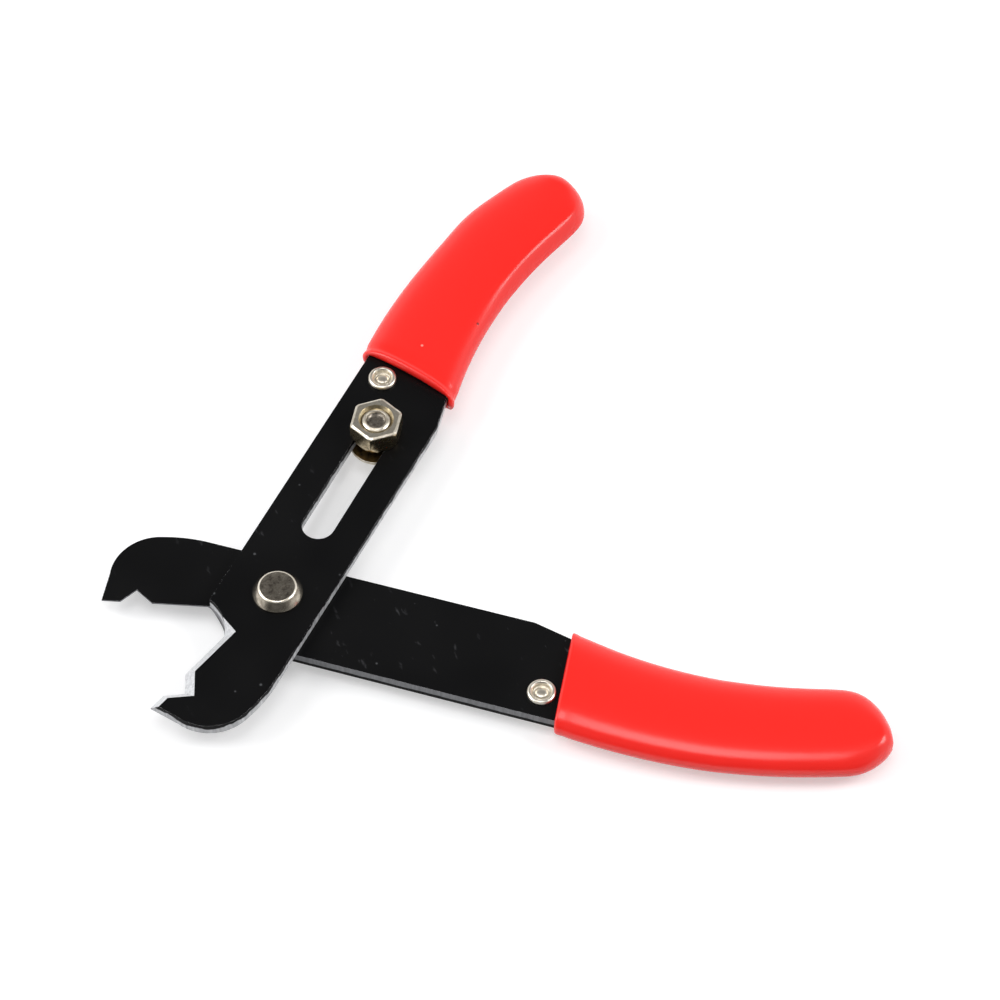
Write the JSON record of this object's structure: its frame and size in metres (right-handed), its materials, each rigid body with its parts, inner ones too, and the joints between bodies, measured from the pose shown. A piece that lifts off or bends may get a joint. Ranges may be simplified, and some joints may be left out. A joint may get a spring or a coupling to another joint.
{
  "type": "wire stripper",
  "caption": "Adjustable wire stripper: crossed flat steel arms on a pivot, notched jaws, red sleeved handles, a return spring, and a sliding stop that sets the closed gap.",
  "frame": {"origin": "on the pivot's axis, at the flat face of the pivot's rear head, which the tool lies on", "axes": "+Z along the pivot's axis to its front head; -X towards the jaws' tips; +X midway between the open handles; the upper arm's handle lies on the +Y side"},
  "size_m": [0.1078, 0.1311, 0.0114],
  "materials": {
    "black_steel": "satin",
    "red_vinyl": "gloss",
    "plated_steel": "satin",
    "spring_steel": "brushed"
  },
  "bodies": {
    "lower_arm": {"lower_arm": "black_steel", "lower_grip": "red_vinyl", "pivot_rivet": "plated_steel", "return_spring": "spring_steel", "lower_rivet": "plated_steel"},
    "upper_arm": {"upper_arm": "black_steel", "upper_grip": "red_vinyl", "upper_rivet": "plated_steel", "rivet_spacer": "plated_steel"},
    "stop": {"stop_screw": "plated_steel"},
    "nut": {"stop_nut": "plated_steel"}
  },
  "joints": [
    {"name": "arm_pivot", "type": "hinge", "parent": "lower_arm", "child": "upper_arm", "pos_m": [0, 0, 0], "axis": [0, 0, -1], "range_deg": [0, 55.5], "stiffness_Nm_per_rad": 0.06, "deforming": ["return_spring"]},
    {"name": "stop_slide", "type": "slide", "parent": "upper_arm", "child": "stop", "axis": [0.7615, 0.6481, 0], "range_m": [-0.006, 0]},
    {"name": "nut_turn", "type": "hinge", "parent": "stop", "child": "nut", "pos_m": [0.02714, 0.0235, 0], "axis": [0, 0, 1], "continuous": true}
  ]
}
